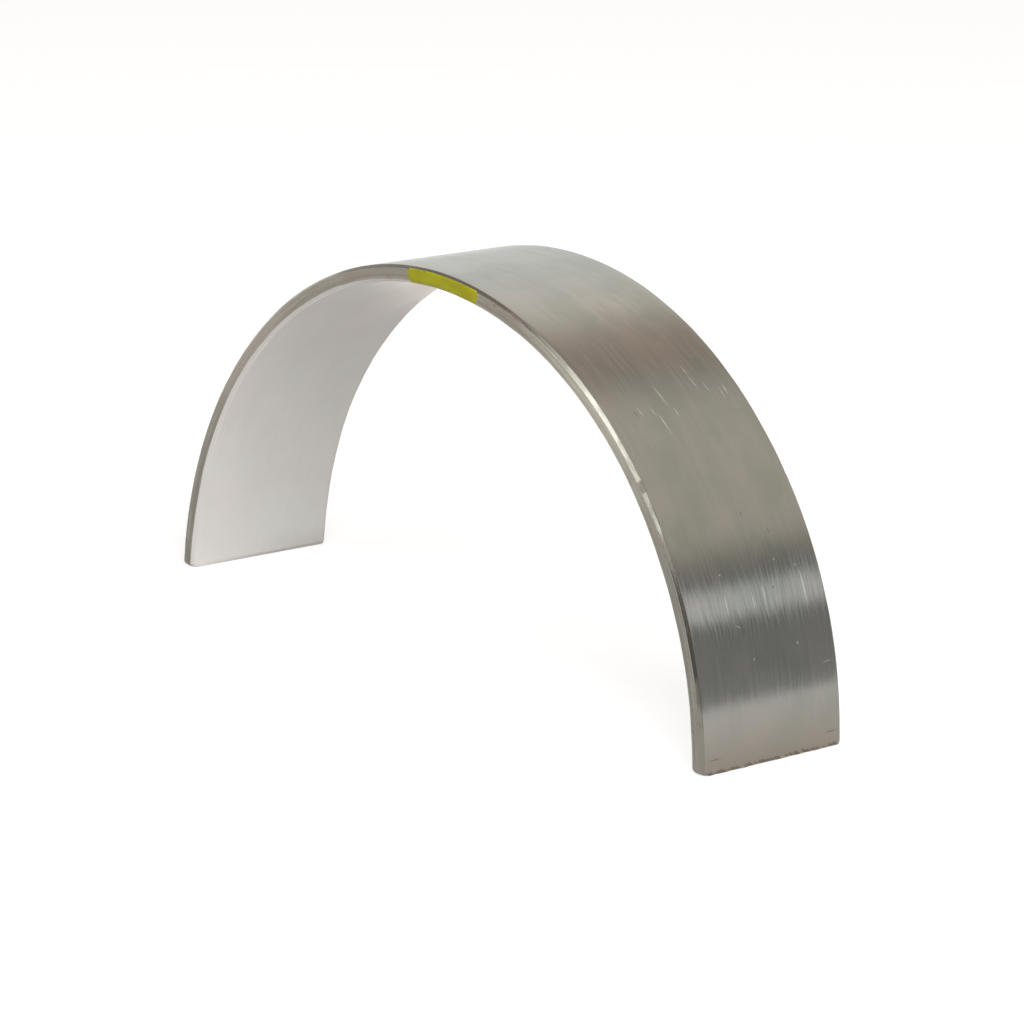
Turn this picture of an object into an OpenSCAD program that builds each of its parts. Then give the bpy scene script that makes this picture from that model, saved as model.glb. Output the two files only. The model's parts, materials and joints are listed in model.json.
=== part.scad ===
// Plain half shell of a split engine bearing, standing on its two joint faces.
// It is drawn as it lies free: sprung open a little wider than the housing that closes it.

/* [Shell] */
// Diameter of the housing bore that closes the shell
housing_bore = 65; // [45:0.5:90]
// Width of the shell along the shaft
shell_width = 14.3; // [9:0.1:36]
// Wall at the crown, steel back and lining together
wall = 1.4; // [1.1:0.05:3]
// Extra width across the joint faces while the shell lies free
free_spread = 1.7; // [0:0.1:3]

/* [Edges] */
// Chamfer along the side edges of the steel back
back_chamfer = 0.25; // [0.1:0.05:0.45]
// Chamfer along the side edges of the running surface
bore_chamfer = 0.3; // [0.1:0.05:0.45]
// Length that the broken corners take off the side faces and off the joint faces
corner_break = 0.5; // [0.2:0.05:1.2]
// Radius of the domed corner breaks, as a multiple of their length
corner_dome = 1.6; // [1.1:0.1:3]

/* [Bore relief] */
// Height above the joint faces at which the running surface starts to fall back
relief_height = 3.5; // [2:0.5:8]
// Depth that the running surface has fallen back by at the joint faces
relief_depth = 0.02; // [0.01:0.005:0.1]

/* [Hidden] */
// Segments to a full turn where the round faces are drawn as facets
$fn = 360;
// Length by which a cutter reaches past the faces that it cuts
overcut = 1;
// Degrees in a quarter turn
quarter_turn = 90;
// Bare steel, dulled by its brushed finish
steel_grey = [0.62, 0.60, 0.56];

// Radius of the middle of the wall once the housing has closed the shell to a half turn
seated_mid_r = (housing_bore - wall) / 2;
// Half the free width across the joint faces
half_opening = (housing_bore + free_spread) / 2;

// The strip keeps its length, so a free back of radius r has less than a quarter turn each side of the crown
function arc_each_side(r) = quarter_turn * seated_mid_r / (r - wall / 2);
// The free radius gives that arc the half opening asked for, and settles in a few passes
function free_back_r(r = half_opening, passes = 12) =
    passes < 1 ? r : free_back_r(half_opening / sin(arc_each_side(r)), passes - 1);

// Free radii of the back and of the running surface, and the arc from the crown to a joint face
back_r = free_back_r();
bore_r = back_r - wall;
half_arc = arc_each_side(back_r);
// Angle of a joint face to the table: the shell stands on its two inner joint edges
joint_tilt = quarter_turn - half_arc;

// The corners' domes, and the distance of their axes from both faces that they run into
corner_r = corner_dome * corner_break;
corner_inset = (corner_break + sqrt(2 * pow(corner_r, 2) - pow(corner_break, 2))) / 2;

// The relief is a larger round bored from a lower axis, which meets the bore at the relief's top
joint_edge_r = bore_r + relief_depth;
joint_edge_z = joint_edge_r * cos(half_arc);
relief_top_z = joint_edge_z + relief_height;
relief_drop = (pow(joint_edge_r, 2) - pow(bore_r, 2)) / (2 * relief_height);
relief_r = sqrt(pow(bore_r, 2) + 2 * relief_top_z * relief_drop + pow(relief_drop, 2));

// Section of the strip: distance from the shell's axis, then place along it
module wall_section() {
    side = shell_width / 2;
    polygon([
        [bore_r, bore_chamfer - side],
        [bore_r + bore_chamfer, -side],
        [back_r - back_chamfer, -side],
        [back_r, back_chamfer - side],
        [back_r, side - back_chamfer],
        [back_r - back_chamfer, side],
        [bore_r + bore_chamfer, side],
        [bore_r, side - bore_chamfer]
    ]);
}

// The section swept from joint face to joint face over the crown
module sprung_strip() {
    rotate([quarter_turn, 0, 0])
        rotate([0, 0, joint_tilt])
            rotate_extrude(angle = 2 * half_arc)
                wall_section();
}

// Cutter that thins the running surface towards the joint faces
module relief_cutter() {
    reach = shell_width + 2 * overcut;
    translate([0, 0, -relief_drop])
        rotate([quarter_turn, 0, 0])
            cylinder(r = relief_r, h = reach, center = true);
}

// Cutter that breaks one corner of the joint face on the right
module corner_cutter() {
    reach = wall + 2 * overcut;
    rotate([0, -joint_tilt, 0])
        translate([bore_r - overcut, shell_width / 2 - corner_inset, 0])
            difference() {
                translate([0, 0, -overcut])
                    cube([reach, corner_inset + overcut, corner_inset + overcut]);
                translate([-overcut, 0, corner_inset])
                    rotate([0, quarter_turn, 0])
                        cylinder(r = corner_r, h = reach + 2 * overcut);
            }
}

module bearing_shell() {
    color(steel_grey)
        translate([0, 0, -joint_edge_z])
            difference() {
                sprung_strip();
                relief_cutter();
                for (leg = [0, 1])
                    for (end = [0, 1])
                        mirror([leg, 0, 0])
                            mirror([0, end, 0])
                                corner_cutter();
            }
}

bearing_shell();
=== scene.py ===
# %% [markdown]
# An engine bearing shell is half of a thin ring: steel strip, bent round, with a soft bearing alloy bonded
# to its inside. This lesson dresses the CAD model of one plain shell. The CAD file already holds the sizes,
# so the strip's section and its arc are worked out from the frame's box and from the mounts in its record.
# What Blender adds is the finish of each surface, the eased edges that catch the light, the paint mark on
# one side face, and the studio round it.

# %% Load the CAD model as a fixed frame
import json
import math

import bpy
import numpy as np
from mathutils import Matrix, Vector


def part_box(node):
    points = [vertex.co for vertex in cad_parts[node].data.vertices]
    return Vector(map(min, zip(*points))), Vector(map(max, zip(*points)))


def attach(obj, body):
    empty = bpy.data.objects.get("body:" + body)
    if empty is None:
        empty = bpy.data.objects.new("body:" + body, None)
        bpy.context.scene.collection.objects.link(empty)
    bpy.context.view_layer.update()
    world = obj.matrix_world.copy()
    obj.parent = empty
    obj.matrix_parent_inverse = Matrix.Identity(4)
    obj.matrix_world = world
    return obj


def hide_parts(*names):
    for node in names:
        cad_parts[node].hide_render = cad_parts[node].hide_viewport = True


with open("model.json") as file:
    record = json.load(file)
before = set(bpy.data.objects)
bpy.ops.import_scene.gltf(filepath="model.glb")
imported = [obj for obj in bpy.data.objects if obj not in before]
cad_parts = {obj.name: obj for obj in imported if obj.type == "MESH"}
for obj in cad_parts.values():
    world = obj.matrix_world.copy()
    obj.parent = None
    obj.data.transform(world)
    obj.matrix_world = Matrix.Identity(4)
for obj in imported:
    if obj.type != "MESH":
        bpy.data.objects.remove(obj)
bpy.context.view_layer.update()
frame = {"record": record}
MM = 0.001

# %% [markdown]
# The shell is a strip bent to an arc about a line along Y. Two mounts of the record give all of its section:
# the journal mount has the radius and the length of the running surface, and the housing seat has those of
# the back. What each length falls short of the full width is taken up by two chamfers. The joint faces'
# slope says how far the arc stops short of a half turn, because the shell lies free and sprung open.

# %% Read the sizes of the strip
mounts = {mount["name"]: mount for mount in frame["record"]["mounts"]}
journal = mounts["journal"]
seat = mounts["housing_seat"]
low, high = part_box("bearing_shell")

WIDTH = high.y - low.y
AXIS_Z = journal["pos_m"][2]
BORE_R = journal["dims"]["r_mm"] * MM
BACK_R = high.z - AXIS_Z
BORE_CHAMFER = (WIDTH - journal["dims"]["length_mm"] * MM) / 2
BACK_CHAMFER = (WIDTH - seat["dims"]["length_mm"] * MM) / 2
HALF_ARC = math.pi / 2 - math.asin(mounts["joint_face_right"]["axis"][0])
STRIP_LENGTH = 2 * HALF_ARC * BACK_R
print("wall %.3f mm, width %.2f mm" % ((BACK_R - BORE_R) / MM, WIDTH / MM))
print("arc from crown to joint face %.2f degrees" % math.degrees(HALF_ARC))

# %% [markdown]
# The photograph was taken from the right, a little above the table, through a long lens. The angles, the
# distance and the lens come from fitting the outline's edges. The camera's three axes are built from those
# angles and put straight into its matrix, so there is no target object to keep and nothing to aim by hand.

# %% Place the camera
IMAGE_SIDE = 1024
SENSOR = 36.0
AZIMUTH = math.radians(50.143)
ELEVATION = math.radians(15.633)
ROLL = math.radians(2.027)
DISTANCE = 353.49 * MM
FOCAL_PIXELS = 4369.6
SLIDE_RIGHT = 1.568 * MM
SLIDE_UP = 12.385 * MM

away = Vector((math.sin(AZIMUTH) * math.cos(ELEVATION),
               -math.cos(AZIMUTH) * math.cos(ELEVATION),
               math.sin(ELEVATION)))
level_right = (-away).cross(Vector((0, 0, 1))).normalized()
level_up = level_right.cross(-away)
right = level_right * math.cos(ROLL) + level_up * math.sin(ROLL)
up = level_up * math.cos(ROLL) - level_right * math.sin(ROLL)
eye = Vector((0, 0, AXIS_Z)) + away * DISTANCE + right * SLIDE_RIGHT + up * SLIDE_UP

camera_data = bpy.data.cameras.new("camera")
camera_data.sensor_width = SENSOR
camera_data.lens = FOCAL_PIXELS / IMAGE_SIDE * SENSOR
camera_data.clip_start = 0.01
camera = bpy.data.objects.new("camera", camera_data)
bpy.context.scene.collection.objects.link(camera)
turn = Matrix((right, up, away)).transposed().to_4x4()
camera.matrix_world = Matrix.Translation(eye) @ turn
bpy.context.scene.camera = camera
bpy.context.scene.view_settings.view_transform = "Standard"
print("lens %.1f mm, eye at %s m" % (camera_data.lens, [round(v, 3) for v in eye]))

# %% [markdown]
# The side edges of a shell are broken by a cutter after the strip is bent, so the chamfers wander by a few
# hundredths of a millimetre. That is why the light along a real edge comes in dashes. A few sine waves of
# seeded phase, added up, give such a wander smoothly, and each edge gets its own. On the front edge of the
# back the cutter also bit less for a short way to the right of the crown, so the chamfer is thinner there.

# %% Let the chamfers wander
rng = np.random.default_rng(11)


def wander(waves=9, longest=40 * MM, shortest=2.2 * MM):
    """A smooth random line along the strip, about -1 to 1, as a function of the place in metres."""
    lengths = np.geomspace(longest, shortest, waves)
    phases = rng.uniform(0, 2 * math.pi, waves)
    heights = np.sqrt(lengths / lengths.sum())
    return lambda place: float(np.sum(heights * np.sin(2 * math.pi * place / lengths + phases)))


CHAMFER_WANDER = 0.10
THIN_PLACE = math.radians(18) * BACK_R
THIN_LENGTH = math.radians(6) * BACK_R
THIN_SHARE = 0.35
EDGES = ("back_front", "back_rear", "bore_front", "bore_rear")
edge_depth = {edge: wander() for edge in EDGES}
edge_reach = {edge: wander() for edge in EDGES}


def chamfer(edge, place):
    """Depth into the wall and reach along the width of one chamfer at a place on the strip."""
    size = BACK_CHAMFER if edge.startswith("back") else BORE_CHAMFER
    depth = size * (1 + CHAMFER_WANDER * edge_depth[edge](place))
    reach = size * (1 + CHAMFER_WANDER * edge_reach[edge](place))
    if edge == "back_front":
        reach *= 1 - THIN_SHARE * math.exp(-((place - THIN_PLACE) / THIN_LENGTH) ** 2)
    return depth, reach


print("front chamfer of the back at the crown: %.3f by %.3f mm"
      % tuple(v / MM for v in chamfer("back_front", 0)))

# %% [markdown]
# Cut across, the strip is a long flat box with eight corners. A corner with no radius at all never shows a
# highlight in a render, so each is eased by a small arc. The section could be a bevelled curve object, but
# then the faces could not be told apart later. Here it is a list of stations walked once round the section,
# each with the number of the finish on the stretch that follows it.

# %% Draw the section of the strip
BACK, EDGE, LINING, CHAMFER = 0, 1, 2, 3
EASE_R = 0.11 * MM
EASE_STEPS = 4
STRETCHES = (
    (BACK, 26), (CHAMFER, 3), (EDGE, 6), (LINING, 3),
    (LINING, 26), (LINING, 3), (EDGE, 6), (CHAMFER, 3),
)


def section_corners(place, front, rear, inset=0.0, fall_back=0.0):
    """The eight corners of the section: distance from the shell's axis, then place along it."""
    back, bore = BACK_R - inset, BORE_R + inset + fall_back
    front, rear = front + inset, rear - inset
    (bf_d, bf_r), (br_d, br_r) = chamfer("back_front", place), chamfer("back_rear", place)
    (lf_d, lf_r), (lr_d, lr_r) = chamfer("bore_front", place), chamfer("bore_rear", place)
    return [Vector(p) for p in (
        (back, front + bf_r), (back, rear - br_r), (back - br_d, rear), (bore + lr_d, rear),
        (bore, rear - lr_r), (bore, front + lf_r), (bore + lf_d, front), (back - bf_d, front))]


def eased_corner(before, corner, after):
    """The points of a small arc that replaces a corner and runs into both of its sides."""
    back_way = (before - corner).normalized()
    on_way = (after - corner).normalized()
    half_angle = back_way.angle(on_way) / 2
    centre = corner + (back_way + on_way).normalized() * EASE_R / math.sin(half_angle)
    start = corner + back_way * EASE_R / math.tan(half_angle) - centre
    end = corner + on_way * EASE_R / math.tan(half_angle) - centre
    return [centre + start.lerp(end, i / EASE_STEPS).normalized() * EASE_R for i in range(EASE_STEPS + 1)]


def section_stations(corners):
    """Points once round the section, with the finish of the stretch that starts at each."""
    count = len(corners)
    arcs = [eased_corner(corners[i - 1], corners[i], corners[(i + 1) % count]) for i in range(count)]
    points, finishes = [], []
    for i, (finish, parts) in enumerate(STRETCHES):
        pair = {finish, STRETCHES[i - 1][0]}
        arc_finish = EDGE if pair == {EDGE, LINING} else max(pair)
        points += arcs[i][:-1]
        finishes += [arc_finish] * EASE_STEPS
        start, end = arcs[i][-1], arcs[(i + 1) % count][0]
        points += [start.lerp(end, part / parts) for part in range(parts)]
        finishes += [finish] * parts
    return points, finishes


example, example_finishes = section_stations(section_corners(0, low.y, high.y))
print("section of", len(example), "stations and", len(example_finishes), "faces a row")

# %% [markdown]
# Near each joint face four things change along the strip: the corners of the legs are domed off, the joint
# face's own edges are eased, the running surface falls back a little so that a shifted cap can't scrape oil
# off the journal, and the shears have left a ragged burr on the outer edge. All four depend on the distance
# to the joint face, so they are four short functions of it. The rows stand close together there and half a
# degree apart everywhere else.

# %% Space the rows along the strip
CORNER_BREAKS = {
    "left_front": 0.36 * MM,
    "left_rear": 0.22 * MM,
    "right_front": 0.5 * MM,
    "right_rear": 0.2 * MM,
}
CORNER_DOME = 1.6
JOINT_EASE = 0.04 * MM
RELIEF_HEIGHT = 3.5 * MM
RELIEF_DEPTH = 0.02 * MM
ROW_STEP = math.radians(0.5)


def corner_cut(corner, distance):
    """What the domed break of a corner takes off the width at a distance from the joint face."""
    reach = CORNER_BREAKS[corner]
    if distance >= reach:
        return 0.0
    dome = CORNER_DOME * reach
    inset = (reach + math.sqrt(2 * dome ** 2 - reach ** 2)) / 2
    return inset - math.sqrt(dome ** 2 - (inset - distance) ** 2)


def inset_at(distance):
    """How far the whole section draws in to ease the edges of the joint face."""
    if distance >= JOINT_EASE:
        return 0.0
    return JOINT_EASE - math.sqrt(JOINT_EASE ** 2 - (JOINT_EASE - distance) ** 2)


def fall_back_at(distance):
    """How far the running surface has fallen back towards the joint face."""
    return RELIEF_DEPTH * max(0.0, 1 - distance / RELIEF_HEIGHT)


BURR = 0.03 * MM
BURR_REACH = 0.03 * MM
BURR_DEPTH = 1.5 * JOINT_EASE
burr_line = wander(12, 4 * MM, 0.25 * MM)


def burr_at(distance, station):
    """How far the sheared edge of the back hangs past the joint face at a station of the section."""
    if distance >= BURR_REACH or station.x <= BACK_R - BURR_DEPTH:
        return 0.0
    return (1 - distance / BURR_REACH) * BURR * max(0.0, burr_line(station.y))


NEAR_STRETCH = 1.2 * MM
near = np.array([0, 0.01, 0.025, 0.04, 0.08, 0.14, 0.2, 0.28, 0.36, 0.43, 0.5, 0.6, 0.75, 0.95]) * MM
far_start = HALF_ARC - NEAR_STRETCH / BACK_R
far_rows = np.linspace(-far_start, far_start, 2 * round(far_start / ROW_STEP) + 1)
right_rows = HALF_ARC - near[::-1] / BACK_R
row_angles = np.concatenate([-right_rows[::-1], far_rows, right_rows])
print(len(row_angles), "rows along the strip")

# %% [markdown]
# The mesh is the section carried along those rows. A Screw or a Curve modifier could sweep it too, but the
# sweep by hand lets the section change from row to row, and it gives each face its finish and its place on
# the strip. That place goes into a UV map at one scale in both directions: U across the strip and V along
# it. Brush lines run along V, so the map tells the metal shader which way its grooves go.

# %% Sweep the shell
UV_NAME = "strip"
MAP_MIDDLE = 0.5


def on_arc(angle, station):
    """A point of the section, put at an angle from the crown towards the right leg."""
    radius, along = station
    return Vector((radius * math.sin(angle), along, AXIS_Z + radius * math.cos(angle)))


rows, walks = [], []
for angle in row_angles:
    distance = (HALF_ARC - abs(angle)) * BACK_R
    leg = "left" if angle < 0 else "right"
    front = low.y + corner_cut(leg + "_front", distance)
    rear = high.y - corner_cut(leg + "_rear", distance)
    corners = section_corners(angle * BACK_R, front, rear, inset_at(distance), fall_back_at(distance))
    stations, finishes = section_stations(corners)
    row = []
    for station in stations:
        past = burr_at(distance, station) / BACK_R
        row.append(on_arc(math.copysign(abs(angle) + past, angle), station))
    rows.append(row)
    steps = [(b - a).length for a, b in zip(stations, stations[1:] + stations[:1])]
    walks.append(np.concatenate([[0], np.cumsum(steps)]))

count = len(finishes)
vertices = [point for row in rows for point in row]
faces, face_finish, face_uv = [], [], []
for r in range(len(rows) - 1):
    for s in range(count):
        t = (s + 1) % count
        faces.append((r * count + s, r * count + t, (r + 1) * count + t, (r + 1) * count + s))
        face_finish.append(finishes[s])
        for row, step in ((r, s), (r, s + 1), (r + 1, s + 1), (r + 1, s)):
            across = walks[row][step] - WIDTH / 2 + BACK_CHAMFER
            along = row_angles[row] * BACK_R
            face_uv.append((MAP_MIDDLE + across / STRIP_LENGTH, MAP_MIDDLE + along / STRIP_LENGTH))
print(len(vertices), "vertices,", len(faces), "side faces")

# %% [markdown]
# The two joint faces close the ends. One many-sided face each would do for a render, but long thin triangles
# come out of it later. The stations of the back and of the running surface stand opposite each other, so
# they are joined by a ladder of quads, with one small face left over at each side.

# %% Close the joint faces
JOINT_FACE_U = 0.85


def run_of(stretch):
    """The stations of one stretch of the section, both of its ends among them."""
    first = EASE_STEPS * (stretch + 1) + sum(parts for _, parts in STRETCHES[:stretch])
    return list(range(first, first + STRETCHES[stretch][1] + 1))


back_run = run_of(0)
bore_run = run_of(4)[::-1]


def close_end(row, turned):
    """Fills one end of the strip with quads across the wall and a small face at each side."""
    rungs = list(zip(back_run, bore_run))
    loops = [(a, b, d, c) for (a, c), (b, d) in zip(rungs[:-1], rungs[1:])]
    loops.append(tuple(range(back_run[-1], bore_run[-1] + 1)))
    loops.append(tuple(range(bore_run[0], count)) + tuple(range(0, back_run[0] + 1)))
    for loop in loops:
        ordered = loop if turned else loop[::-1]
        faces.append(tuple(row * count + i for i in ordered))
        face_finish.append(EDGE)
        for i in ordered:
            point = rows[row][i]
            radius = math.hypot(point.x, point.z - AXIS_Z)
            across = JOINT_FACE_U + point.y / STRIP_LENGTH
            face_uv.append((across, MAP_MIDDLE + (radius - BACK_R) / STRIP_LENGTH))


close_end(0, True)
close_end(len(rows) - 1, False)

shell_mesh = bpy.data.meshes.new("bearing_shell_finished")
shell_mesh.from_pydata(vertices, [], faces)
shell_mesh.uv_layers.new(name=UV_NAME).uv.foreach_set("vector", np.array(face_uv, np.float32).ravel())
shell_mesh.polygons.foreach_set("material_index", face_finish)
shell_mesh.shade_smooth()
shell_mesh.validate()
shell = bpy.data.objects.new("bearing_shell_finished", shell_mesh)
bpy.context.scene.collection.objects.link(shell)
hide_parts("bearing_shell")
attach(shell, "root")
print("shell mesh of", len(shell_mesh.polygons), "faces")

# %% [markdown]
# Every finish below is a small tree of shader nodes. One helper puts a node in the tree and joins its inputs,
# and a few more name the steps that repeat: a place on the strip in millimetres, the distances from a joint
# face and from the shell's axis, a noise that is stretched along the brush lines, a sum, and a blend.

# %% Shader helpers


def put(tree, kind, inputs=None, **fields):
    """Adds a shader node, sets its fields, and gives each input a number or a socket to follow."""
    node = tree.nodes.new("ShaderNode" + kind)
    for name, value in fields.items():
        setattr(node, name, value)
    for name, value in (inputs or {}).items():
        if isinstance(value, bpy.types.NodeSocket):
            tree.links.new(value, node.inputs[name])
        else:
            node.inputs[name].default_value = value
    return node


def calc(tree, operation, a, b=0.0):
    """One sum with two numbers."""
    return put(tree, "Math", {0: a, 1: b}, operation=operation).outputs[0]


def span(tree, value, start, end, low_value, high_value):
    """Carries a value from one range smoothly to another."""
    inputs = {"Value": value, "From Min": start, "From Max": end, "To Min": low_value, "To Max": high_value}
    return put(tree, "MapRange", inputs, interpolation_type="SMOOTHSTEP").outputs["Result"]


def blend(tree, amount, first, second):
    """Blends two colours by an amount from 0 to 1."""
    node = put(tree, "Mix", {"Factor": amount}, data_type="RGBA")
    for socket, colour in ((node.inputs[6], first), (node.inputs[7], second)):
        if isinstance(colour, bpy.types.NodeSocket):
            tree.links.new(colour, socket)
        else:
            socket.default_value = (*colour, 1)
    return node.outputs[2]


def strip_place(tree):
    """Place on the strip in millimetres: X across from the middle of the back, Y along from the crown."""
    uv = put(tree, "UVMap", uv_map=UV_NAME).outputs["UV"]
    middle = (MAP_MIDDLE, MAP_MIDDLE, 0)
    from_crown = put(tree, "VectorMath", {0: uv, 1: middle}, operation="SUBTRACT").outputs[0]
    scale = STRIP_LENGTH / MM
    return put(tree, "VectorMath", {0: from_crown, "Scale": scale}, operation="SCALE").outputs[0]


def part_of(tree, place, axis):
    """The X, Y or Z of a place."""
    return put(tree, "SeparateXYZ", {0: place}).outputs[axis]


def joint_distance(tree, place):
    """Distance in millimetres from the nearer joint face, measured along the strip."""
    along = calc(tree, "ABSOLUTE", part_of(tree, place, "Y"))
    return calc(tree, "SUBTRACT", STRIP_LENGTH / 2 / MM, along)


def axis_distance(tree):
    """Distance in metres from the shell's axis."""
    place = put(tree, "TexCoord").outputs["Object"]
    inputs = {0: place, 1: (1, 0, 1), 2: (0, 0, -AXIS_Z)}
    from_axis = put(tree, "VectorMath", inputs, operation="MULTIPLY_ADD").outputs[0]
    return put(tree, "VectorMath", {0: from_axis}, operation="LENGTH").outputs["Value"]


def grain(tree, place, across, along, detail=2.0, shift=0.0):
    """Noise whose spots are about so many millimetres across the strip and along it."""
    inputs = {0: place, 1: (1 / across, 1 / along, 1), 2: (shift, shift, shift)}
    stretched = put(tree, "VectorMath", inputs, operation="MULTIPLY_ADD").outputs[0]
    return put(tree, "TexNoise", {"Vector": stretched, "Scale": 1.0, "Detail": detail}).outputs["Fac"]


def new_finish(name):
    """An empty material with its metal shader, ready to be joined up."""
    material = bpy.data.materials.new(name)
    material.use_nodes = True
    tree = material.node_tree
    tree.nodes.clear()
    shader = put(tree, "BsdfPrincipled")
    put(tree, "OutputMaterial", {"Surface": shader.outputs[0]})
    return material, tree, shader


print("shader helpers ready")

# %% [markdown]
# A ground metal surface is a bundle of fine grooves. Light that falls across the grooves is thrown wide, and
# light along them stays sharp, so the back mirrors the studio as bands that run straight across the strip.
# The shader's anisotropy does that, with the map's U direction as its tangent. Each brush line also leans a
# little along the strip, which frays the edges of the bands. That lean is made by tipping the normal along
# the grooves by a noise as narrow as the lines.

# %% Lean of the brush lines


def brush_tangent(tree):
    """The way across the brush lines, which is the map's U direction."""
    return put(tree, "Tangent", direction_type="UV_MAP", uv_map=UV_NAME).outputs[0]


def brushed_normal(tree, lean):
    """The surface normal, tipped along the brush lines by an amount that differs from line to line."""
    normal = put(tree, "NewGeometry").outputs["Normal"]
    inputs = {0: normal, 1: brush_tangent(tree)}
    along = put(tree, "VectorMath", inputs, operation="CROSS_PRODUCT").outputs[0]
    tip = put(tree, "VectorMath", {0: along, "Scale": lean}, operation="SCALE").outputs[0]
    tipped = put(tree, "VectorMath", {0: normal, 1: tip}, operation="ADD").outputs[0]
    return put(tree, "VectorMath", {0: tipped}, operation="NORMALIZE").outputs[0]


print("lean helper ready")

# %% [markdown]
# The back has been handled: short scratches along and across the grain, bright specks where grit has dinged
# it, and a few dark pits. Each mark is an ellipse on the strip, given by its angle from the crown, its place
# along the shaft, its length, its width and its slant to the brush lines. Each fades from its middle to the
# rim. A loop lays them down, and the strongest mark at a place wins.

# %% Scratches and pits of the back
LIGHT_MARKS = (
    (36.5, -0.8, 2.6, 0.15, -6), (40.6, -2.0, 2.4, 0.14, -5), (37.0, 5.5, 1.2, 0.14, 2),
    (39.3, -0.3, 1.2, 0.10, -6), (38.6, -2.4, 1.3, 0.12, -6), (35.0, 3.0, 1.6, 0.12, -4),
    (32.9, 3.0, 1.3, 0.11, -5), (37.6, 5.0, 1.6, 0.09, 0), (36.2, 3.9, 1.1, 0.10, -4),
    (38.2, -3.6, 1.2, 0.10, -6), (65.9, 5.0, 3.2, 0.16, 0), (66.4, -2.9, 2.0, 0.14, 0),
    (65.8, 1.0, 2.2, 0.13, 0), (66.6, -0.2, 1.6, 0.12, 0),
    (20.3, -2.0, 0.6, 0.08, -78), (62.4, -2.8, 0.24, 0.16, 0), (61.8, 2.8, 0.24, 0.15, 0),
    (63.0, 4.7, 0.28, 0.18, 20), (73.0, 3.35, 0.26, 0.18, 0), (73.9, -1.15, 0.3, 0.14, 40),
    (69.4, -2.2, 0.7, 0.10, -64), (76.2, 6.0, 1.2, 0.06, 88),
)
DARK_MARKS = (
    (38.5, -4.1, 0.8, 0.11, -5), (55.1, 1.05, 0.5, 0.1, 15), (57.9, 3.1, 0.6, 0.1, -15),
    (65.3, 2.05, 0.2, 0.16, 0), (73.1, 3.15, 0.22, 0.16, 0), (-4.4, 6.4, 0.35, 0.2, 70),
    (85.65, -5.8, 1.5, 0.12, 88), (85.5, 6.0, 1.5, 0.12, 90), (62.0, 2.55, 0.16, 0.1, 0),
)
FADE_LENGTH = 0.6
FADE_WIDTH = 0.8


def marks(tree, place, rows_of_marks):
    """How strongly a place lies in any mark of the list, from 0 to 1."""
    total = 0.0
    for angle, across, length, width, slant in rows_of_marks:
        centre = (across, math.radians(angle) * BACK_R / MM, 0)
        inputs = {"Vector": place, "Location": centre, "Rotation": (0, 0, math.radians(slant)),
                  "Scale": (width * FADE_WIDTH, length * FADE_LENGTH, 1)}
        local = put(tree, "Mapping", inputs, vector_type="TEXTURE").outputs[0]
        reach = put(tree, "VectorMath", {0: local}, operation="LENGTH").outputs["Value"]
        total = calc(tree, "MAXIMUM", span(tree, reach, 0.0, 1.0, 1.0, 0.0), total)
    return total


print(len(LIGHT_MARKS), "light marks and", len(DARK_MARKS), "dark ones")

# %% [markdown]
# Bare steel strip is a warm grey that takes its brightness from what it mirrors, so its own colour stays
# even: a slow cloud of faint staining, fine lines along the grain, and a browner, darker tone towards the
# joint faces, where the strip was sheared. On the outer edge the shears have left dark teeth, with a light
# rusty colour between them that is a painted glint, a painted highlight.

# %% Colour of the brushed steel
FINE_SHARE = 0.6
BROAD_SHARE = 0.4


def steel_colour(tree, place, fine, to_joint):
    """The colour of the back before its scratches and pits."""
    broad = grain(tree, place, 0.6, 18.0, shift=7.3)
    cloud = grain(tree, place, 4.0, 5.0, shift=3.1)
    lines = calc(tree, "MULTIPLY_ADD", fine, FINE_SHARE)
    tree.links.new(calc(tree, "MULTIPLY", broad, BROAD_SHARE), lines.node.inputs[2])

    steel = blend(tree, span(tree, lines, 0.3, 0.7, 0, 1), (0.566, 0.573, 0.534), (0.622, 0.628, 0.587))
    steel = blend(tree, span(tree, cloud, 0.35, 0.5, 0.8, 0), steel, (0.54, 0.562, 0.512))
    steel = blend(tree, span(tree, cloud, 0.5, 0.68, 0, 0.8), steel, (0.65, 0.627, 0.585))

    steel = blend(tree, span(tree, to_joint, 0.0, 5.5, 0.8, 0.0), steel, (0.50, 0.44, 0.37))
    teeth = grain(tree, place, 0.3, 2.0, detail=3.0, shift=14.2)
    tooth_edge = calc(tree, "SUBTRACT", to_joint, calc(tree, "MULTIPLY", teeth, 0.7))
    steel = blend(tree, span(tree, tooth_edge, -0.22, -0.05, 0.7, 0.0), steel, (0.24, 0.18, 0.13))
    # Painted highlight: a light rusty glint between the teeth, right at the edge.
    on_edge = span(tree, to_joint, 0.08, 0.2, 1.0, 0.0)
    painted_glint = calc(tree, "MULTIPLY", on_edge, span(tree, teeth, 0.4, 0.5, 0.7, 0.0))
    return blend(tree, painted_glint, steel, (0.80, 0.66, 0.45))


print("colour of the back ready")

# %% [markdown]
# Now the colour, the marks and the grooves come together. The brush lines are calmer close to the joint
# faces and round the crown than between, so the roughness and the lean of the lines follow the distance from
# the joint face. A pit is rougher than the steel round it, and a scratch mirrors a little less.

# %% Brushed steel of the back


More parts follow.
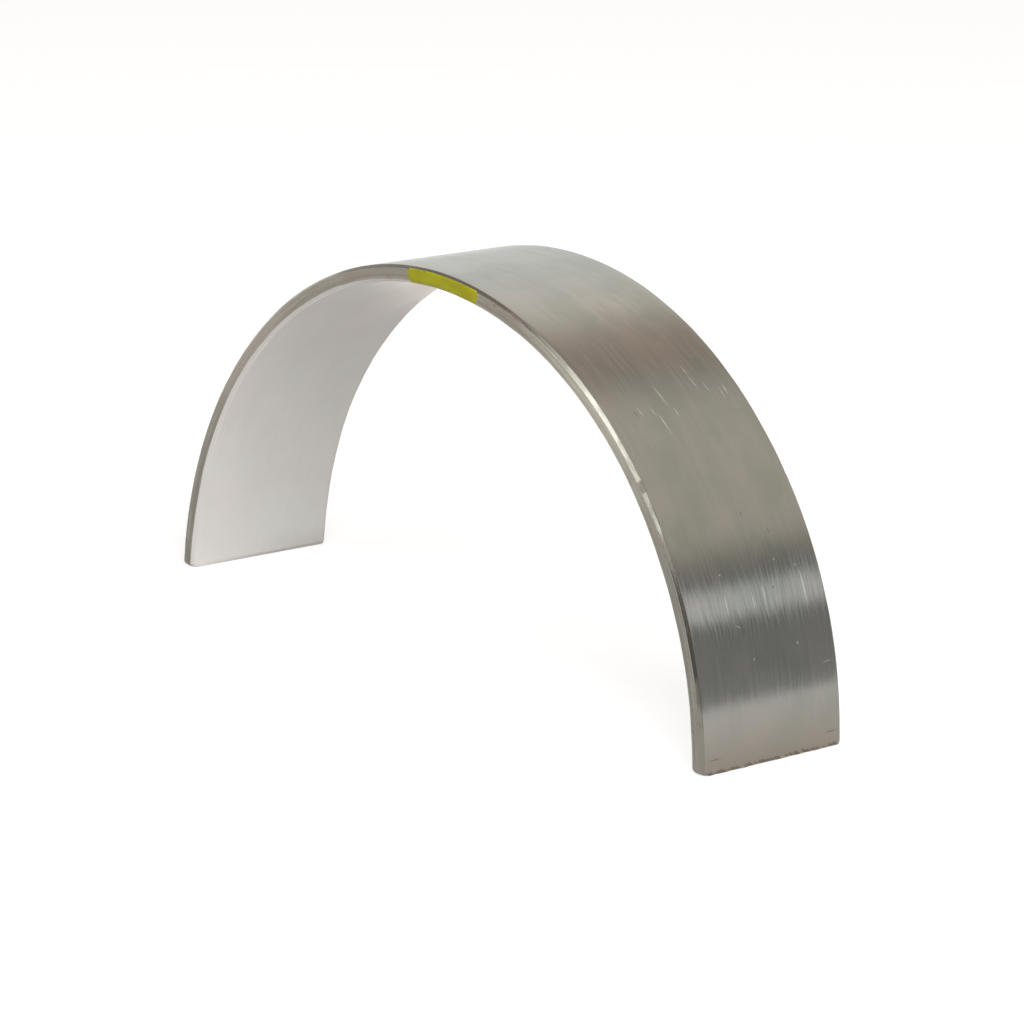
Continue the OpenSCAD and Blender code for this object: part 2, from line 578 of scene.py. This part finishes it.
def brushed_steel():
    """The finish of the back."""
    material, tree, shader = new_finish("brushed_steel_back")
    place = strip_place(tree)
    fine = grain(tree, place, 0.13, 7.0)
    to_joint = joint_distance(tree, place)
    steel = steel_colour(tree, place, fine, to_joint)
    light = marks(tree, place, LIGHT_MARKS)
    dark = marks(tree, place, DARK_MARKS)
    steel = blend(tree, calc(tree, "MULTIPLY", light, 0.25), steel, (0.95, 0.93, 0.89))
    steel = blend(tree, calc(tree, "MULTIPLY", dark, 0.45), steel, (0.22, 0.19, 0.165))
    tree.links.new(steel, shader.inputs["Base Color"])

    to_crown = span(tree, to_joint, 14.0, 30.0, 1.0, 0.55)
    coarse = calc(tree, "MULTIPLY", span(tree, to_joint, 6.0, 11.0, 0.05, 0.16), to_crown)
    smooth = span(tree, to_joint, 14.0, 30.0, 0.19, 0.215)
    by_line = span(tree, fine, 0.32, 0.68, -0.5, 0.5)
    rough = calc(tree, "ADD", smooth, calc(tree, "MULTIPLY", by_line, coarse))
    tree.links.new(calc(tree, "ADD", rough, calc(tree, "MULTIPLY", dark, 0.3)), shader.inputs["Roughness"])
    tree.links.new(calc(tree, "SUBTRACT", 1.0, calc(tree, "MULTIPLY", light, 0.2)), shader.inputs["Metallic"])
    tilt = calc(tree, "SUBTRACT", grain(tree, place, 0.15, 8.0, shift=1.7), 0.5)
    to_crown = span(tree, to_joint, 14.0, 30.0, 1.0, 0.4)
    lean_share = calc(tree, "MULTIPLY", span(tree, to_joint, 6.0, 11.0, 0.018, 0.042), to_crown)
    lean = calc(tree, "MULTIPLY", tilt, lean_share)
    tree.links.new(brushed_normal(tree, lean), shader.inputs["Normal"])
    tree.links.new(brush_tangent(tree), shader.inputs["Tangent"])
    shader.inputs["Anisotropic"].default_value = 0.8
    return material


shell_mesh.materials.append(brushed_steel())
print("back finish made")

# %% [markdown]
# The side faces are turned, not ground: coarser lines, still along the strip, and a browner tone because oil
# stays in them. One deeper groove of the turning tool runs round as a darker line, and a stretch of the left
# leg is lighter in colour. The joint faces are cut the same way and share this finish.

# %% Cut steel of the side faces
GROOVE = 0.54 * MM
LIGHTER_PLACE = math.radians(-48) * BACK_R


def cut_steel():
    """The finish of the side faces and the joint faces."""
    material, tree, shader = new_finish("cut_steel_edges")
    place = strip_place(tree)
    lines = grain(tree, place, 0.22, 6.0, detail=3.0, shift=2.4)
    patches = grain(tree, place, 1.2, 2.6, detail=3.0, shift=9.1)
    specks = grain(tree, place, 0.25, 0.4, shift=5.5)
    steel = blend(tree, span(tree, lines, 0.3, 0.7, 0, 1), (0.475, 0.46, 0.41), (0.65, 0.63, 0.565))
    from_groove = calc(tree, "ABSOLUTE", calc(tree, "SUBTRACT", axis_distance(tree), BORE_R + GROOVE))
    steel = blend(tree, span(tree, from_groove, 0.03 * MM, 0.14 * MM, 0.4, 0.0), steel, (0.36, 0.31, 0.26))
    steel = blend(tree, span(tree, patches, 0.42, 0.66, 0, 0.6), steel, (0.50, 0.455, 0.405))
    steel = blend(tree, span(tree, specks, 0.66, 0.76, 0, 0.6), steel, (0.27, 0.215, 0.17))
    # A stretch of the left leg's side face is given a lighter colour.
    along = part_of(tree, place, "Y")
    from_lighter = calc(tree, "ABSOLUTE", calc(tree, "SUBTRACT", along, LIGHTER_PLACE / MM))
    steel = blend(tree, span(tree, from_lighter, 3.0, 9.0, 0.5, 0.0), steel, (0.74, 0.69, 0.63))
    tree.links.new(steel, shader.inputs["Base Color"])
    tree.links.new(span(tree, lines, 0.3, 0.7, 0.38, 0.47), shader.inputs["Roughness"])
    tilt = calc(tree, "SUBTRACT", grain(tree, place, 0.15, 1.5, shift=4.2), 0.5)
    tree.links.new(brushed_normal(tree, calc(tree, "MULTIPLY", tilt, 0.12)), shader.inputs["Normal"])
    tree.links.new(brush_tangent(tree), shader.inputs["Tangent"])
    shader.inputs["Metallic"].default_value = 1.0
    shader.inputs["Anisotropic"].default_value = 0.85
    return material


shell_mesh.materials.append(cut_steel())
print("side finish made")

# %% [markdown]
# The lining is a soft pale alloy, bored and left satin, so it blurs what it mirrors far more than the back.
# Its colour drifts a little between pink and green in soft clouds. The inner chamfers are cut into the same
# alloy and show as the pale line inside the side faces; their colour is painted a little darker as painted
# shade. The rear corners next to the joint faces are painted grey as painted shade, and so is a thin strip
# along the joint edge of the rear half.

# %% Satin lining of the running surface
CHAMFER_GAIN = (BACK_CHAMFER + BORE_CHAMFER) * (math.sqrt(2) - 1)
REAR_OF_LINING = WIDTH / 2 - BACK_CHAMFER + BACK_R - BORE_R + CHAMFER_GAIN
LINING_WIDTH = WIDTH - 2 * BORE_CHAMFER


def satin_lining():
    """The finish of the running surface and the inner chamfers."""
    material, tree, shader = new_finish("satin_lining")
    place = strip_place(tree)
    cloud = grain(tree, place, 3.5, 6.0, detail=3.0, shift=6.6)
    drift = grain(tree, place, 6.0, 9.0, shift=12.9)
    lines = grain(tree, place, 0.3, 12.0, shift=8.8)
    alloy = blend(tree, span(tree, drift, 0.35, 0.65, 0, 1), (0.95, 0.91, 0.88), (0.925, 0.922, 0.89))
    alloy = blend(tree, span(tree, cloud, 0.35, 0.7, 0, 0.6), alloy, (0.89, 0.865, 0.84))
    alloy = blend(tree, span(tree, lines, 0.35, 0.65, 0, 0.08), alloy, (0.76, 0.745, 0.72))
    to_joint = joint_distance(tree, place)
    to_rear = calc(tree, "SUBTRACT", part_of(tree, place, "X"), REAR_OF_LINING / MM)
    # Painted shade: the inner chamfers get a darker copy of the alloy's colour.
    shaded_chamfer = span(tree, to_rear, LINING_WIDTH / MM, LINING_WIDTH / MM + 0.1, 0.0, 1.0)
    alloy = blend(tree, shaded_chamfer, alloy, (0.80, 0.765, 0.735))
    # Painted shade: grey in the rear corners of the lining, next to the joint faces.
    shaded_corner = span(tree, to_rear, 1.0, 9.0, 1.0, 0.0)
    painted_corner_shade = calc(tree, "MULTIPLY", span(tree, to_joint, 0.0, 2.4, 0.3, 0.0), shaded_corner)
    alloy = blend(tree, painted_corner_shade, alloy, (0.55, 0.52, 0.49))
    # Painted shade: a darker strip along the joint edge of the rear half of the lining.
    on_rear_half = span(tree, to_rear, 6.0, 14.0, 1.0, 0.1)
    painted_edge_shade = calc(tree, "MULTIPLY", span(tree, to_joint, 0.1, 0.4, 0.6, 0.0), on_rear_half)
    alloy = blend(tree, painted_edge_shade, alloy, (0.50, 0.46, 0.43))
    tree.links.new(alloy, shader.inputs["Base Color"])
    tree.links.new(span(tree, cloud, 0.3, 0.7, 0.38, 0.47), shader.inputs["Roughness"])
    bump = put(tree, "Bump", {"Strength": 0.25, "Distance": 0.01 * MM, "Height": lines})
    tree.links.new(bump.outputs[0], shader.inputs["Normal"])
    shader.inputs["Metallic"].default_value = 0.6
    return material


shell_mesh.materials.append(satin_lining())
print("lining finish made")

# %% [markdown]
# The outer chamfers are the smoothest part of the shell: the cutter burnishes them as it breaks the edge, so
# they mirror the light almost sharply. They are duller near the joint faces. On the front one a small nick,
# rougher than the rest and painted darker as painted shade, breaks the bright line on the right leg.

# %% Burnished outer chamfers
NICK_SHADE_PLACE = math.radians(49.0) * BACK_R
NICK_SHADE_MIDDLE = 0.36
NICK_SHADE_RIM = 0.66


def burnished_steel():
    """The finish of the outer chamfers."""
    material, tree, shader = new_finish("burnished_chamfers")
    place = strip_place(tree)
    dull = grain(tree, place, 0.4, 1.6, shift=10.3)
    steel = blend(tree, span(tree, dull, 0.4, 0.7, 0, 0.5), (0.61, 0.605, 0.56), (0.50, 0.46, 0.40))
    near_joint = span(tree, joint_distance(tree, place), 5.0, 9.0, 1.0, 0.0)
    steel = blend(tree, near_joint, steel, (0.455, 0.43, 0.38))
    along = part_of(tree, place, "Y")
    # Painted shade: the nick is darker as well as rougher, so the bright line breaks there.
    from_nick_shade = calc(tree, "ABSOLUTE", calc(tree, "SUBTRACT", along, NICK_SHADE_PLACE / MM))
    nick_shade = span(tree, from_nick_shade, NICK_SHADE_MIDDLE, NICK_SHADE_RIM, 1.0, 0.0)
    on_shaft = part_of(tree, put(tree, "TexCoord").outputs["Object"], "Y")
    nick_shade = calc(tree, "MULTIPLY", nick_shade, calc(tree, "LESS_THAN", on_shaft, 0.0))
    steel = blend(tree, calc(tree, "MULTIPLY", nick_shade, 0.6), steel, (0.34, 0.325, 0.28))
    tree.links.new(steel, shader.inputs["Base Color"])
    rough = span(tree, dull, 0.35, 0.7, 0.18, 0.29)
    tree.links.new(calc(tree, "ADD", rough, calc(tree, "MULTIPLY", nick_shade, 0.25)), shader.inputs["Roughness"])
    shader.inputs["Metallic"].default_value = 1.0
    return material


shell_mesh.materials.append(burnished_steel())
print("chamfer finish made")

# %% [markdown]
# Makers dab paint on one side face to show the shell's size group. The dab covers the flat and nearly all of
# the inner chamfer, and it ends about a third of the way up the outer one. It could be a mask in the side
# face's shader, but a real coat stands proud, so it is a thin closed film of its own. Its path comes from the
# same section as the shell, so it lies on the steel all along, and its ends are a little ragged, as a brush
# leaves them.

# %% Lay the paint film
MARK_START = math.radians(-6.0)
MARK_END = math.radians(9.2)
FILM = 0.018 * MM
FILM_ROOT = 0.006 * MM
FILM_UNDER = 3 * FILM_ROOT
FILM_ROWS = 96
FILM_ACROSS = 19
RIM_ROWS = 3
RAGGED_STEP = 0.1 * MM
RAGGED_START = 0.06 * MM
RAGGED_END = 0.05 * MM
OUTER_SHARE = 0.36
INNER_SHARE = 0.95
end_wander = (wander(7, 2 * MM, 0.2 * MM), wander(7, 2 * MM, 0.2 * MM))


def film_path(angle):
    """Points and outward ways across the paint, from the outer chamfer over the flat to the inner one."""
    back, bore, inner, outer = (section_corners(angle * BACK_R, low.y, high.y)[i] for i in (0, 5, 6, 7))
    bends = [outer.lerp(back, OUTER_SHARE), outer, inner, inner.lerp(bore, INNER_SHARE)]
    legs = [b - a for a, b in zip(bends[:-1], bends[1:])]
    ends = np.cumsum([leg.length for leg in legs])
    path = []
    for run in np.linspace(0, ends[-1], FILM_ACROSS):
        i = min(int(np.searchsorted(ends, run)), len(legs) - 1)
        way = legs[i].normalized()
        path.append((bends[i + 1] - way * (ends[i] - run), Vector((-way.y, way.x))))
    return path


film_top, film_under = [], []
for i in range(FILM_ROWS + 1):
    share = i / FILM_ROWS
    for j in range(FILM_ACROSS):
        start = MARK_START + end_wander[0](j * RAGGED_STEP) * RAGGED_START / BACK_R
        end = MARK_END + end_wander[1](j * RAGGED_STEP) * RAGGED_END / BACK_R
        angle = start + (end - start) * share
        point, outward = film_path(angle)[j]
        from_rim = min(1.0, min(i, FILM_ROWS - i) / RIM_ROWS, min(j, FILM_ACROSS - 1 - j))
        height = FILM * math.sqrt(from_rim) - FILM_ROOT
        film_top.append(on_arc(angle, point + outward * height))
        film_under.append(on_arc(angle, point - outward * FILM_UNDER))
print("film of", len(film_top), "points on each face")

# %% [markdown]
# The film's upper and under faces are two grids of the same size. Quads fill each grid, turned so that both
# look outwards, and a ring of quads round the rim joins them, so the film is closed.

# %% Close the paint film
film_faces = []
size = len(film_top)
for i in range(FILM_ROWS):
    for j in range(FILM_ACROSS - 1):
        a = i * FILM_ACROSS + j
        top = (a, a + 1, a + FILM_ACROSS + 1, a + FILM_ACROSS)
        film_faces.append(top)
        film_faces.append(tuple(size + k for k in top[::-1]))
ring = list(range(FILM_ACROSS))
ring += [i * FILM_ACROSS + FILM_ACROSS - 1 for i in range(1, FILM_ROWS + 1)]
ring += [FILM_ROWS * FILM_ACROSS + j for j in range(FILM_ACROSS - 2, -1, -1)]
ring += [i * FILM_ACROSS for i in range(FILM_ROWS - 1, 0, -1)]
for a, b in zip(ring, ring[1:] + ring[:1]):
    film_faces.append((b, a, size + a, size + b))
film_mesh = bpy.data.meshes.new("size_mark_paint")
film_mesh.from_pydata(film_top + film_under, [], film_faces)
film_mesh.shade_smooth()
film_mesh.validate()
film = bpy.data.objects.new("size_mark_paint", film_mesh)
bpy.context.scene.collection.objects.link(film)
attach(film, "root")
print("paint film of", len(film_mesh.polygons), "faces")

# %% [markdown]
# The paint is a thin greenish yellow, laid on in one stroke. Where it is thin the steel shows through a
# little brown. Over the pale alloy of the inner chamfer, which faces down, it is painted lighter as painted
# light from below. The film is neither matt nor glossy.

# %% Yellow marking paint
ALLOY_EDGE = BORE_R + 0.2 * MM
STEEL_EDGE = BORE_R + 0.34 * MM


def marking_paint():
    """The paint of the size mark."""
    material, tree, shader = new_finish("yellow_marking_paint")
    place = put(tree, "TexCoord").outputs["Object"]
    in_mm = put(tree, "VectorMath", {0: place, "Scale": 1 / MM}, operation="SCALE").outputs[0]
    thin = grain(tree, in_mm, 1.6, 1.0, detail=3.0)
    stroke = grain(tree, in_mm, 2.5, 1.0, shift=4.4)
    paint = blend(tree, span(tree, stroke, 0.35, 0.65, 0, 1), (0.28, 0.27, 0.004), (0.32, 0.315, 0.005))
    paint = blend(tree, span(tree, thin, 0.5, 0.75, 0, 0.6), paint, (0.31, 0.25, 0.016))
    # Painted light: the paint over the inner chamfer is lighter, standing in for light from below.
    painted_light_below = span(tree, axis_distance(tree), ALLOY_EDGE, STEEL_EDGE, 0.8, 0.0)
    paint = blend(tree, painted_light_below, paint, (0.52, 0.50, 0.05))
    tree.links.new(paint, shader.inputs["Base Color"])
    tree.links.new(span(tree, thin, 0.3, 0.7, 0.42, 0.55), shader.inputs["Roughness"])
    bump = put(tree, "Bump", {"Strength": 0.3, "Distance": 0.02 * MM, "Height": thin})
    tree.links.new(bump.outputs[0], shader.inputs["Normal"])
    shader.inputs["Specular IOR Level"].default_value = 0.25
    return material


film_mesh.materials.append(marking_paint())
print("paint made")

# %% [markdown]
# The shell stands on a plain white sweep. Seen by the camera, the floor is white by its own glow, and only a
# part of its brightness is lit, so the shell's soft shadow stays. Mirror rays get a faint glow too, so the
# steel near the floor doesn't go black. The world behind is white for the same rays and dark for all others.

# %% White floor and background
FLOOR_SIDE = 8.0
FLOOR_COLOUR = (0.42, 0.42, 0.42)
FLOOR_GLOW_SEEN = 0.67
FLOOR_GLOW_MIRRORED = 0.03
FLOOR_DROP = 0.02 * MM


def seen_or_mirrored(tree, seen, mirrored):
    """A strength for rays from the camera, and one for mirrored and refracted rays."""
    path = put(tree, "LightPath").outputs
    shiny = calc(tree, "MAXIMUM", path["Is Glossy Ray"], path["Is Transmission Ray"])
    by_mirror = calc(tree, "MULTIPLY", shiny, mirrored)
    return calc(tree, "ADD", calc(tree, "MULTIPLY", path["Is Camera Ray"], seen), by_mirror)


def stage_mesh(name, points, polygons, material):
    """A mesh of the studio, which isn't part of the object."""
    mesh = bpy.data.meshes.new(name)
    mesh.from_pydata(points, [], polygons)
    mesh.materials.append(material)
    obj = bpy.data.objects.new(name, mesh)
    bpy.context.scene.collection.objects.link(obj)
    return obj


floor_white = bpy.data.materials.new("white_sweep")
floor_white.use_nodes = True
tree = floor_white.node_tree
tree.nodes.clear()
lit = put(tree, "BsdfDiffuse", {"Color": (*FLOOR_COLOUR, 1)}).outputs[0]
strength = seen_or_mirrored(tree, FLOOR_GLOW_SEEN, FLOOR_GLOW_MIRRORED)
glow = put(tree, "Emission", {"Strength": strength}).outputs[0]
put(tree, "OutputMaterial", {"Surface": put(tree, "AddShader", {0: lit, 1: glow}).outputs[0]})
half = FLOOR_SIDE / 2
floor_corners = [(x * half, y * half, -FLOOR_DROP) for x, y in ((-1, -1), (1, -1), (1, 1), (-1, 1))]
stage_mesh("floor", floor_corners, [(0, 1, 2, 3)], floor_white)

world = bpy.data.worlds.new("white_background")
world.use_nodes = True
tree = world.node_tree
tree.nodes.clear()
background = put(tree, "Background", {"Strength": seen_or_mirrored(tree, 1.0, 1.0)})
put(tree, "OutputWorld", {"Surface": background.outputs[0]})
bpy.context.scene.world = world
print("floor and background made")

# %% [markdown]
# Polished and brushed metal shows what stands round it, so the studio decides its look. Where a cloth must
# hang to show at a place on the shell follows from mirroring the line of sight there. One function does that
# for the back and for the chamfer at its front edge, and another finds where such a line meets a tent.

# %% Mirror the line of sight
TENT_R = 0.8


def mirrored(angle, tilt=0.0):
    """A point of the back, or of an edge tilted to the front, and the way that sight is mirrored there."""
    point = on_arc(angle, (BACK_R, low.y if tilt else 0.0))
    normal = Vector((math.sin(angle) * math.cos(tilt), -math.sin(tilt), math.cos(angle) * math.cos(tilt)))
    sight = (eye - point).normalized()
    return point, normal * (2 * normal.dot(sight)) - sight


def tent_angle(angle):
    """Angle from overhead at which the line of sight, mirrored by the back, meets the tent."""
    point, way = mirrored(angle)
    here, step = Vector((point.x, point.z)), Vector((way.x, way.z)).normalized()
    run = -here.dot(step) + math.sqrt(here.dot(step) ** 2 - here.length_squared + TENT_R ** 2)
    hit = here + step * run
    return math.degrees(math.atan2(hit.x, hit.y))


for angle in (0, 30, 66):
    hung_at = tent_angle(math.radians(angle))
    print("%d degrees from the crown the back mirrors the tent at %.1f" % (angle, hung_at))

# %% [markdown]
# The tent lies along the Y axis: pale cloth on the left, a brown gap along the ridge, cream cloth on the
# right, and below that a dark flag with one lit slit. Each row is an angle on the back, from the crown
# towards the right leg, with the brightness and the tint of the cloth that shows there. The front of the
# tent, behind the camera, is a darker drape, whose rows are angles from overhead. It keeps the chamfers dark
# at the crown and lights them on the left. The seam where tent and drape meet runs along a few points, each
# an angle from overhead and a place along Y.

# %% Tent of cloth and flags
TENT_REAR = 2.4
TENT_FRONT = -1.6
REAR_CAP = 0.4
FRONT_CAP = 0.3
CAP_SQUEEZE = 0.02
SEAM = ((-90, 0.12), (-45, 0.12), (-18, -0.33), (90, -0.33))
PLAIN = (1.0, 1.0, 1.0)
PALE = (0.99, 1.0, 0.97)
IVORY = (1.07, 1.0, 0.935)
CREAM = (1.074, 1.0, 0.893)
BROWN = (1.24, 1.0, 0.87)
ROSE = (1.06, 0.98, 0.92)
CLOTH = (
    (-14, 0.75, PALE), (-12, 0.53, PALE), (-9, 0.68, PALE), (0, 0.775, PALE), (8, 0.68, PALE),
    (16, 0.68, IVORY), (19, 0.635, CREAM), (21.5, 0.51, CREAM), (24, 0.35, BROWN), (27, 0.285, BROWN),
    (31, 0.27, BROWN), (33.5, 0.31, CREAM), (38, 0.465, CREAM), (41, 0.47, CREAM), (52, 0.455, CREAM),
    (57.5, 0.43, CREAM), (61, 0.235, CREAM), (63.3, 0.20, PLAIN), (64.6, 0.52, PLAIN), (65.4, 0.60, PLAIN),
    (67.3, 0.60, PLAIN), (68.9, 0.19, PLAIN), (73, 0.215, PLAIN), (77.4, 0.22, PLAIN),
)
DRAPE = (
    (-90, 0.60, ROSE), (-84, 0.43, ROSE), (-76, 0.35, ROSE), (-62, 0.31, ROSE), (-52, 0.21, BROWN),
    (-36, 0.17, BROWN), (-22, 0.20, ROSE), (40, 0.10, CREAM), (90, 0.08, CREAM),
)


def colours_of(rows_of_cloth, angles):
    """A function that gives the colour of hung cloth at an angle from overhead."""
    colours = np.array([np.array(tint) * level for _, level, tint in rows_of_cloth])
    return lambda angle: [float(np.interp(angle, angles, channel)) for channel in colours.T]


def seam(angle):
    """Where the tent and the drape meet, along Y, at an angle from overhead."""
    return float(np.interp(angle, *np.array(SEAM).T))


tent_colour = colours_of(CLOTH, [tent_angle(math.radians(row[0])) for row in CLOTH])
drape_colour = colours_of(DRAPE, [row[0] for row in DRAPE])
cloth = bpy.data.materials.new("tent_cloth")
cloth.use_nodes = True
tree = cloth.node_tree
tree.nodes.clear()
colour = put(tree, "Attribute", attribute_name="cloth").outputs["Color"]
put(tree, "OutputMaterial", {"Surface": put(tree, "Emission", {"Color": colour}).outputs[0]})


def hang(name, rings, angles, colour_at):
    """A half tube of cloth over the Y axis, from the seam through its rings to a closed end."""
    points, colours = [], []
    for along, squeeze in [(None, 1.0)] + rings:
        for angle in angles:
            x, z = math.sin(math.radians(angle)), math.cos(math.radians(angle))
            y = seam(angle) if along is None else along
            points.append((TENT_R * squeeze * x, y, TENT_R * squeeze * z))
            colours.append((*colour_at(angle), 1))
    steps = len(angles)
    polygons = [(r * steps + i, r * steps + i + 1, (r + 1) * steps + i + 1, (r + 1) * steps + i)
                for r in range(len(rings)) for i in range(steps - 1)]
    hung = stage_mesh(name, points, polygons, cloth)
    hung.data.attributes.new("cloth", "FLOAT_COLOR", "POINT").data.foreach_set("color", np.ravel(colours))
    hung.visible_camera = False
    print(name, "of", len(polygons), "strips")


rear_rings = [(TENT_REAR, 1.0), (TENT_REAR + REAR_CAP, CAP_SQUEEZE)]
front_rings = [(TENT_FRONT, 1.0), (TENT_FRONT - FRONT_CAP, CAP_SQUEEZE)]
hang("tent", rear_rings, np.linspace(-90, 90, 361), tent_colour)
hang("drape", front_rings, np.linspace(-90, 90, 91), drape_colour)

# %% [markdown]
# Five cards lie on the floor and carry the lowest cloth inwards. Each row has a card's two corners, its
# brightness, its tint, and whether it also lights what isn't a mirror. The dark card on the right ends where
# the photograph shows the floor's own reflection begin. The pale card behind the left leg brightens the
# upper part of the lining. All cards are clear from below, so the floor under them is lit as usual and keeps
# its shadow.

# %% Cards on the floor
CARD_LIFT = 0.6 * MM
FLOOR_SHOWS_FROM = math.radians(79.1)
point, way = mirrored(FLOOR_SHOWS_FROM)
floor_starts = point.x - way.x * point.z / way.z
CARDS = (
    ("white_card", (-TENT_R, 0.04), (-0.12, TENT_REAR), 1.04, PLAIN, False),
    ("pale_card", (-0.12, 0.03), (-0.036, TENT_REAR), 2.2, ROSE, True),
    ("left_card", (-TENT_R, -0.6), (-0.095, 0.03), 0.7, ROSE, False),
    ("dark_card", (floor_starts, 0.12), (TENT_R, TENT_REAR), 0.235, PLAIN, False),
    ("front_card", (0.10, TENT_FRONT), (TENT_R, -0.09), 0.1, PLAIN, False),
)
print("the floor shows up to %.3f m to the right" % floor_starts)


def glowing(name, colour, strength):
    """A material that gives off light on its upper face and is clear from below, so the floor stays lit."""
    material = bpy.data.materials.new(name)
    material.use_nodes = True
    tree = material.node_tree
    tree.nodes.clear()
    lamp = put(tree, "Emission", {"Color": (*colour, 1), "Strength": strength}).outputs[0]
    clear = put(tree, "BsdfTransparent").outputs[0]
    from_below = put(tree, "NewGeometry").outputs["Backfacing"]
    face = put(tree, "MixShader", {0: from_below, 1: lamp, 2: clear}).outputs[0]
    put(tree, "OutputMaterial", {"Surface": face})
    return material


for name, (left, near_end), (right_end, far_end), level, tint, lights in CARDS:
    points = [(left, near_end, CARD_LIFT), (right_end, near_end, CARD_LIFT),
              (right_end, far_end, CARD_LIFT), (left, far_end, CARD_LIFT)]
    card = stage_mesh(name, points, [(0, 1, 2, 3)], glowing(name + "_face", tint, level))
    card.visible_camera = False
    card.visible_diffuse = lights
    card.visible_shadow = False
    print(name, "laid")

# %% [markdown]
# One lit panel in front and above draws the bright line along the outer chamfer of the right leg, which
# grows, breaks and fades. Another below it lifts the side face beside that line. Each row is a place on the
# leg in degrees from the crown, the panel's brightness where it is mirrored there, and the span of edge
# tilts, to either side of the middle one, that show it.

# %% Graded panels
PANEL_DISTANCE = 0.7
CHAMFER_PANEL = (
    (16, 0.1, 8), (20, 0.26, 8), (25, 0.56, 8), (29, 0.56, 9), (32, 1.15, 9), (35, 1.85, 8), (42, 1.85, 8),
    (45, 1.85, 8), (47.2, 2.0, 8), (47.9, 0.9, 7), (48.6, 0.4, 7), (50.1, 0.45, 5), (50.9, 1.0, 4),
    (52.2, 1.9, 5), (53.7, 2.5, 5), (54.5, 0.2, 4), (57.5, 0.25, 4), (60.3, 0.95, 4), (61.2, 0.1, 4),
)
CHAMFER_TILT = 45
SIDE_PANEL = ((22, 0.3, 9), (30, 1.6, 9), (36, 2.7, 9), (42, 2.6, 9), (48, 1.3, 9), (55, 0.2, 9))
SIDE_TILT = 68
WARM_GREEN = 0.985
WARM_BLUE = 0.93


def hang_panel(name, rows_of_panel, middle_tilt):
    """A lit sheet, hung where edges tilted to the front mirror it along a stretch of the leg."""
    points, colours = [], []
    for side in (-1, 1):
        for angle, level, reach in rows_of_panel:
            point, way = mirrored(math.radians(angle), math.radians(middle_tilt + side * reach))
            points.append(point + way * PANEL_DISTANCE)
            colours.append((level, level * WARM_GREEN, level * WARM_BLUE, 1))
    steps = len(rows_of_panel)
    polygons = [(i, i + 1, steps + i + 1, steps + i) for i in range(steps - 1)]
    sheet = stage_mesh(name, points, polygons, cloth)
    sheet.data.attributes.new("cloth", "FLOAT_COLOR", "POINT").data.foreach_set("color", np.ravel(colours))
    sheet.visible_camera = False
    print("%s %.2f m long" % (name, (points[steps - 1] - points[0]).length))


hang_panel("chamfer_panel", CHAMFER_PANEL, CHAMFER_TILT)
hang_panel("side_panel", SIDE_PANEL, SIDE_TILT)

# %% [markdown]
# Paint, lining and floor are not mirrors, so the tent alone leaves them dull. A broad lamp fills them from
# the right. It is hidden from mirror rays, because a second bright shape in the metal would show as a band.

# %% Fill lamp
FILL_WATTS = 5.3
FILL_DISTANCE = 0.58
FILL_SIZE = 0.6
FILL_WAY = (0.76, -0.34, 0.55)
fill_data = bpy.data.lights.new("fill", "AREA")
fill_data.shape = "DISK"
fill_data.size = FILL_SIZE
fill_data.energy = FILL_WATTS
fill = bpy.data.objects.new("fill", fill_data)
bpy.context.scene.collection.objects.link(fill)
fill_way = Vector(FILL_WAY).normalized()
fill_turn = fill_way.to_track_quat("Z", "Y").to_matrix().to_4x4()
fill.matrix_world = Matrix.Translation(fill_way * FILL_DISTANCE) @ fill_turn
fill.visible_glossy = False
fill.visible_camera = False
print("fill of", FILL_WATTS, "W")
